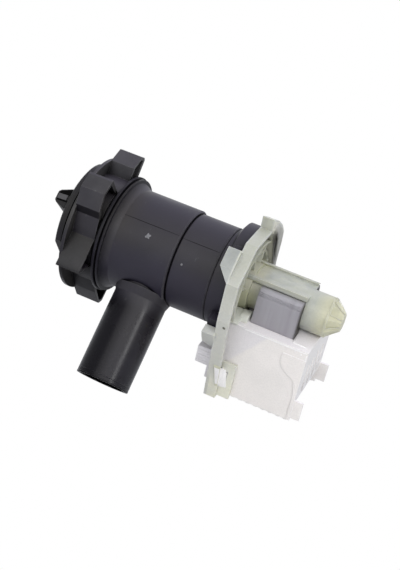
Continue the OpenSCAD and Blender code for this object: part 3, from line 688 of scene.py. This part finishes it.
def hoops(name, places, look, body, width, height):
    """Closed beads round the pump axis, each from x, radius and whether it lies on a face."""
    count = 96
    bm = bmesh.new()
    for x, r, on_face in places:
        angles = [360 * i / count for i in range(count)]
        path = [around(x, r, a) for a in angles]
        ups = [Vector((on_face, 0, 0)) if on_face else outward(a) for a in angles]
        add_bead(bm, path, ups, width, height, closed=True)
    piece(name, bm, look, body)


# Black mouldings

def parting_lines():
    beads("barrel_parting_lines", [
        ([around(x, BARREL_R, a) for x in (9.2, 20, 35, 50)], outward(a))
        for a in opposite(SEAM_ANGLE)
    ], seam, "housing", 0.5, 0.1)
    beads("pump_parting_lines", [
        ([around(x, PUMP_R, a) for x in (53.2, 62, 72, 80.6)], outward(a))
        for a in opposite(SEAM_ANGLE)
    ], seam, "housing", 0.45, 0.08)
    lines = []
    for turn in opposite(20):
        points = [on_tube(z, math.radians(turn)) for z in (-46, -72, INLET_END + 1.4)]
        lines.append(([at for at, way in points], points[0][1]))
    beads("tube_parting_lines", lines, black, "housing", 0.4, 0.08)


def inlet_mouth_beads():
    count = 72
    bm = bmesh.new()
    for above_end in (0.9, 3.4):
        points = [on_tube(INLET_END + above_end, 2 * math.pi * i / count) for i in range(count)]
        add_bead(bm, [at for at, way in points], [way for at, way in points], 0.7, 0.14, closed=True)
    piece("inlet_mouth_beads", bm, black, "housing")


def gate_marks():
    """The rough scar of the gate on the barrel, from overlapping marks, and one on the chamber."""
    crater = [(0.9, -0.2), (1, 0.05), (0.96, 0.14), (0.72, 0.2), (0.55, 0.12), (0.3, 0.16), (0.08, 0.3)]
    marks = [
        (30.5, BARREL_R, 92.2, 1.35), (29.4, BARREL_R, 93.6, 0.8), (31.7, BARREL_R, 91.2, 0.75),
        (30.1, BARREL_R, 90.0, 0.6), (31.4, BARREL_R, 94.2, 0.55), (59.1, PUMP_R, 107.5, 0.8),
    ]
    bm = bmesh.new()
    for x, r, angle, size in marks:
        profile = [(size * share, h) for share, h in crater]
        add_turned(bm, around(x, r, angle), outward(angle), profile)
    piece("gate_marks", bm, scar, "housing")


def pump_seam_beads():
    hoops("pump_seam_beads", [(PUMP_SEAM_X, PUMP_R, 0)], black, "housing", 0.5, 0.12)


# Cap

def cap_face_rings():
    hoops("cap_face_rings", [(DISC_X, 28.6, -1), (DISC_X, 22.0, -1)], cap_black, "cap", 0.9, 0.25)


def cap_pins():
    bm = bmesh.new()
    for angle in opposite(101):
        add_turned(bm, around(DISC_X, 33.2, angle), CAPWARD, [
            (1.6, -0.4), (1.6, 0.4), (1.4, 0.7), (0.9, 0.7), (0.75, 0.1), (0.1, 0.1)
        ])
    piece("cap_pins", bm, cap_black, "cap")


def handle_grip_lines():
    """Two lines along each slanting side of the handle."""
    reach = 31
    grip, across = outward(HANDLE_ANGLE), outward(HANDLE_ANGLE - 90)
    slant = Vector((-0.43, 0, 0))
    lines = []
    for side in (-1, 1):
        for lift in (3.2, 6.6):
            half = HANDLE_FOOT + (HANDLE_CREST - HANDLE_FOOT) * lift / HANDLE_HEIGHT
            middle = Vector((DISC_X - lift, 0, 0)) * MM + across * side * half * MM
            path = straight(middle - grip * reach * MM, middle + grip * reach * MM, 9)
            lines.append((path, (across * side + slant).normalized()))
    beads("handle_grip_lines", lines, cap_black, "cap", 0.8, 0.22)


def handle_end_radius(x):
    """The distance of the handle's round ends to the axis, which grows from its top to its foot."""
    return 35.6 + 2.5 * (x + 42.6) / 13.6


def add_end_patch(bm, turn, outline):
    """A thin patch on the round end of the cap's handle, from [x, distance from its middle]."""
    proud, depth = 0.4, 0.9
    face = []
    for x, lift in outline:
        r = handle_end_radius(x)
        face.append(around(x, r + proud, turn - math.degrees(math.asin(lift / r))))
    middle = sum(face, Vector()) / len(face)
    inner = [middle + (v - middle) * 0.85 - outward(turn) * 0.06 * MM for v in face]
    low = [v - outward(turn) * depth * MM for v in face]
    add_skin(bm, [[bm.verts.new(v) for v in row] for row in (low, face, inner)])


def handle_ends():
    """At each end of the handle, near-black patches that paint the shade of its hollow and its groove,
    and the lip between them.
    """
    recess = [(-32.0, 2.2), (-32.0, 6.5), (-39.4, 3.9), (-40.5, 2.6), (-40.5, 2.2)]
    groove = [(-32.0, -2.9), (-32.0, -2.1), (-40.4, -2.1), (-40.4, -2.9)]
    lip = [(-33.2, -1.8), (-33.2, 1.9), (-40.6, 1.9), (-40.6, -1.8)]
    for name, look, outlines in (("handle_painted_recess_shades", painted_hollow_shade, (recess, groove)),
                                 ("handle_lips", lighter_black, (lip,))):
        bm = bmesh.new()
        for turn in opposite(HANDLE_ANGLE):
            for outline in outlines:
                add_end_patch(bm, turn, outline)
        piece(name, bm, look, "cap", smooth=False)


# Cream bracket

def rim_hole():
    # A ring round the rim's hole, and in it a dark disc that paints the hole's shade.
    at, way = motor(101.7, 44.4, -11.4), motor_way(0, 0.985, -0.17)
    for name, look, profile in (
        ("rim_hole_ring", cream, [(1.7, -1.0), (1.7, 0.1), (1.5, 0.25), (1.15, 0.25), (1.0, 0.05)]),
        ("rim_hole", painted_shade_olive, [(1.05, -0.5), (1.05, 0.08), (0.8, 0.12), (0.1, 0.1)]),
    ):
        bm = bmesh.new()
        add_turned(bm, at, way, profile)
        piece(name, bm, look, "housing")


def ear_pad():
    """The light pad that closes the ear, and the thin plate that closes its tip."""
    bm = bmesh.new()
    add_plate(bm, [
        (-4.6, 41.6), (-7.6, 45.6), (-11.0, 45.4), (-18.5, 42.6), (-29.6, 35.4), (-36.8, 27.8),
        (-38.8, 20), (-38.8, 4), (-40.2, -4), (-34, -5), (-29.2, 5.8), (-13.3, 32.4)
    ], WEB_BACK - 0.2, RIM_BACK + 0.2, 0.5)
    add_plate(bm, [(-4.6, 41), (-4.8, 49.7), (-8.6, 48.7), (-18.6, 43.9), (-18, 42)],
              RIM_BACK - 1.0, RIM_BACK + 0.13, 0.15)
    piece("ear_pad", bm, cream_ear, "housing")


def web_slot_painted_shade():
    # Painted shade: a dark strip where the web's slot lies.
    plate("web_slot_painted_shade", painted_shade_olive, [(-27.6, 31), (-29.7, 31), (-29.7, 6), (-27.6, 8)],
          WEB_BACK - 0.2, WEB_BACK + 0.25, 0.1)


def core_shoulder():
    plate("core_shoulder", cream_light,
          [(24.4, -14.7), (24, -11), (21.5, -9.6), (14.5, -9.6), (14.5, -14.7)], 104.7, 110.6, 0.5)


def nose_edge_beads():
    lines = []
    for angle in range(0, 360, 45):
        turn = 90 - MOTOR_TILT + angle
        start = around(CAN_END, CAN_R - 0.25, turn)
        end = around(NOSE_END - 0.15, NOSE_R, turn)
        way = (outward(turn) + Vector((0.85, 0, 0))).normalized()
        lines.append((straight(start, end, 4), way))
    beads("nose_edge_beads", lines, cream, "housing", 0.6, 0.12)


def can_step_bead():
    hoops("can_step_bead", [(CAN_END - 1.2, CAN_R, 0)], cream, "housing", 0.9, 0.22)


def web_shelf():
    plate("web_shelf", cream_light, [(32, -13.4), (31.5, -11.8), (14, -10.4), (14, -13.9)],
          WEB_BACK - 0.2, 107, 0.4)


def rim_front(h):
    """The distance of the rim's slanting front side to the motor's middle, at a height."""
    return 33.5 + 0.172 * (h + 75)


def latch_windows():
    """The part of the snap latch's window that shows over the rim's slanting front side."""
    window = [Vector(q) for q in ((100.4, -47.6), (104.4, -47.4), (104.4, -61.0), (102.8, -61.6))]
    middle = sum(window, Vector((0, 0))) / len(window)
    for name, look, steps in (
        ("latch_window_rim", cream_yellow, ((1.32, -0.3), (1.3, 0.25), (1.2, 0.4), (1.0, 0.4))),
        ("latch_window", white_edge, ((1.06, -0.2), (1.02, 0.42), (0.9, 0.55))),
    ):
        bm = bmesh.new()
        rings = []
        for share, lift in steps:
            points = [middle + (q - middle) * share for q in window]
            rings.append([bm.verts.new(motor(min(x, RIM_BACK + 0.1), rim_front(h) + lift, h))
                          for x, h in points])
        add_skin(bm, rings)
        piece(name, bm, look, "housing", smooth=False)


def latch_nub():
    face = [(101.2, -50.8), (107.2, -50.6), (110.0, -64.4), (101.2, -66.6)]
    bm = bmesh.new()
    add_skin(bm, [[bm.verts.new(motor(x, d, h)) for x, h in face] for d in (30.5, 32.1)])
    soften(bm, 0.4)
    piece("latch_nub", bm, white_edge, "housing")


def latch_window_turn():
    """The strip of the window that goes on round the rim's back edge."""
    plate("latch_window_turn", white_edge,
          [(31.6, -49.5), (38.0, -47.6), (35.9, -61.2), (31.6, -64.8)],
          RIM_BACK - 0.2, RIM_BACK + 0.4, 0.15)


# Lamination stack

def stack_lip_lines():
    inset = 0.3
    bm = bmesh.new()
    for below_top, width in ((0.9, 0.5), (2.3, 0.4), (3.8, 0.35)):
        for side in (-1, 1):
            path = straight(motor(CORE_X + inset, side * CORE_D, ARM_TOP - below_top),
                            motor(CORE_END - inset, side * CORE_D, ARM_TOP - below_top), 9)
            add_bead(bm, path, [FRONT * side] * len(path), width, 0.14)
    piece("stack_lip_lines", bm, laminations, "housing")


# White cover

def cover_pip():
    bm = bmesh.new()
    profile = [(0.75, -0.2), (0.75, 0.12), (0.6, 0.22), (0.2, 0.22)]
    add_turned(bm, motor(153.2, COVER_D, -17.7), FRONT, profile, 16)
    piece("cover_pip", bm, white_edge, "housing")


def cover_corner_marks():
    bm = bmesh.new()
    for rib in (
        (motor(150.1, COVER_D, -14.9), FRONT, AXIS, 3.0, 0.5, 0.6),
        (motor(148.7, COVER_D, -16.2), FRONT, UP, 2.6, 0.5, 0.6),
        (motor(149.5, 23.5, COVER_TOP), UP, AXIS, 11, 0.7, 1.1),
        (motor(144.6, 21.4, COVER_TOP), UP, FRONT, 4.4, 0.7, 1.1),
    ):
        add_rib(bm, *rib)
    piece("cover_corner_marks", bm, white_edge, "housing")


def cover_front_edges():
    # Beads along the front's top and end edges. Their lighter white paints the highlight on both edges.
    beads("cover_front_edges", [
        (straight(motor(COVER_X + 4, COVER_D, COVER_TOP - 1.1),
                  motor(COVER_END - 1, COVER_D, COVER_TOP - 1.1), 12), FRONT),
        (straight(motor(COVER_END - 0.9, COVER_D, COVER_TOP - 2),
                  motor(COVER_END - 0.9, COVER_D, COVER_BOTTOM + 4), 12), FRONT),
    ], white_edge, "housing", 0.9, 0.2)


def panel_teeth():
    count, pitch = 9, 5.6
    bm = bmesh.new()
    for i in range(count):
        x = COVER_X + 5 + i * pitch
        for side in (-1, 1):
            foot = motor(x, side * (COVER_D - 0.8), PANEL_BOTTOM + 0.1)
            add_rib(bm, foot, -UP, AXIS, 2.6, 0.9, 1.3)
    piece("panel_teeth", bm, white, "housing")


def end_wall_ribs():
    bm = bmesh.new()
    for d in (-16, -5.4, 5.4, 16):
        foot = motor(COVER_END, d, (COVER_TOP + COVER_BOTTOM) / 2 - 6)
        add_rib(bm, foot, AXIS, UP, 22, 0.8, 1.2)
    piece("end_wall_ribs", bm, white, "housing")


# Connector

def connector_lines():
    beads("connector_lines", [
        (straight(motor(85.2, CONNECTOR_D, h), motor(94.2, CONNECTOR_D, h), 5), FRONT)
        for h in (-43.3, -47.3, -51.3)
    ], grey, "housing", 0.5, 0.18)


def connector_catch():
    bm = bmesh.new()
    add_rib(bm, motor(86.4, 19.2, -41.2), UP, Vector((0, 1, 0)), 5.0, 1.0, 2.2)
    piece("connector_catch", bm, grey, "housing")


for build in (
    parting_lines, inlet_mouth_beads, gate_marks, pump_seam_beads,
    cap_face_rings, cap_pins, handle_grip_lines, handle_ends,
    rim_hole, ear_pad, web_slot_painted_shade, core_shoulder, nose_edge_beads, can_step_bead, web_shelf,
    latch_windows, latch_nub, latch_window_turn,
    stack_lip_lines,
    cover_pip, cover_corner_marks, cover_front_edges, panel_teeth, end_wall_ribs,
    connector_lines, connector_catch,
):
    build()


# Floor, world and lights

def floor_look():
    """Pale paper. For the camera it is clear from below and fades to white far from the pump."""
    m = Look("floor")
    m.colour(m.mix((m.noise(3, 2), "Fac"), (0.83, 0.83, 0.83), (0.86, 0.86, 0.86)))
    m.set(Roughness=0.9)
    geo = m.add("ShaderNodeNewGeometry")
    path = m.add("ShaderNodeLightPath")
    distance = m.vector_math("LENGTH", (m.coord, "Object"))
    far = m.times(m.between(distance, *FLOOR_FADE), (path, "Is Camera Ray"))
    faded = m.add("ShaderNodeMixShader")
    m.wire(far, faded.inputs[0])
    m.link(m.bsdf, "BSDF", faded, 1)
    m.link(m.add("ShaderNodeEmission"), 0, faded, 2)
    from_below = m.times((geo, "Backfacing"), (path, "Is Camera Ray"))
    both = m.add("ShaderNodeMixShader")
    m.wire(from_below, both.inputs[0])
    m.link(faded, 0, both, 1)
    m.link(m.add("ShaderNodeBsdfTransparent"), "BSDF", both, 2)
    m.link(both, 0, m.out, "Surface")
    return m


def make_floor():
    mesh = bpy.data.meshes.new("floor")
    bm = bmesh.new()
    bmesh.ops.create_circle(bm, cap_ends=True, cap_tris=False, segments=96, radius=FLOOR_R)
    bm.to_mesh(mesh)
    bm.free()
    mesh.materials.append(floor_look().mat)
    floor = bpy.data.objects.new("floor", mesh)
    floor.location = FLOOR_CENTRE
    bpy.context.scene.collection.objects.link(floor)


def make_world():
    """A soft bluish light that the camera sees as plain white."""
    world = bpy.data.worlds.new("World")
    bpy.context.scene.world = world
    world.use_nodes = True
    t = world.node_tree
    t.nodes.clear()
    out = t.nodes.new("ShaderNodeOutputWorld")
    mix = t.nodes.new("ShaderNodeMixShader")
    for slot, colour, strength in ((1, (0.93, 0.95, 1.0, 1), 0.62), (2, (1, 1, 1, 1), 1.0)):
        light = t.nodes.new("ShaderNodeBackground")
        light.inputs["Color"].default_value = colour
        light.inputs["Strength"].default_value = strength
        t.links.new(light.outputs[0], mix.inputs[slot])
    path = t.nodes.new("ShaderNodeLightPath")
    t.links.new(path.outputs["Is Camera Ray"], mix.inputs[0])
    t.links.new(mix.outputs[0], out.inputs["Surface"])


def area(name, at, size, power, colour=(1, 1, 1)):
    """A rectangular light that faces the pump's middle."""
    middle = Vector((0.08, 0, -0.02))
    data = bpy.data.lights.new(name, "AREA")
    data.shape = "RECTANGLE"
    data.size, data.size_y = size
    data.energy = power
    data.color = colour
    lamp = bpy.data.objects.new(name, data)
    lamp.location = at
    lamp.rotation_euler = (Vector(at) - middle).to_track_quat("Z", "Y").to_euler()
    bpy.context.scene.collection.objects.link(lamp)


def make_lights():
    area("key", (0.15, -0.7, 1.0), (1.7, 1.3), 3.4)
    area("top", (0.35, 0.25, 1.0), (1.3, 1.3), 4.4, (0.84, 0.84, 1))
    area("front", (0.2, -1.3, 0.02), (1.8, 0.9), 9.9, (1, 0.985, 0.98))
    area("streak", (0.9, -0.7, 0.0), (0.2, 0.8), 4.5)
    area("rim", (-0.5, 0.8, 0.5), (0.8, 0.8), 2)


make_floor()
make_world()
make_lights()
bpy.context.scene.view_settings.view_transform = "Standard"
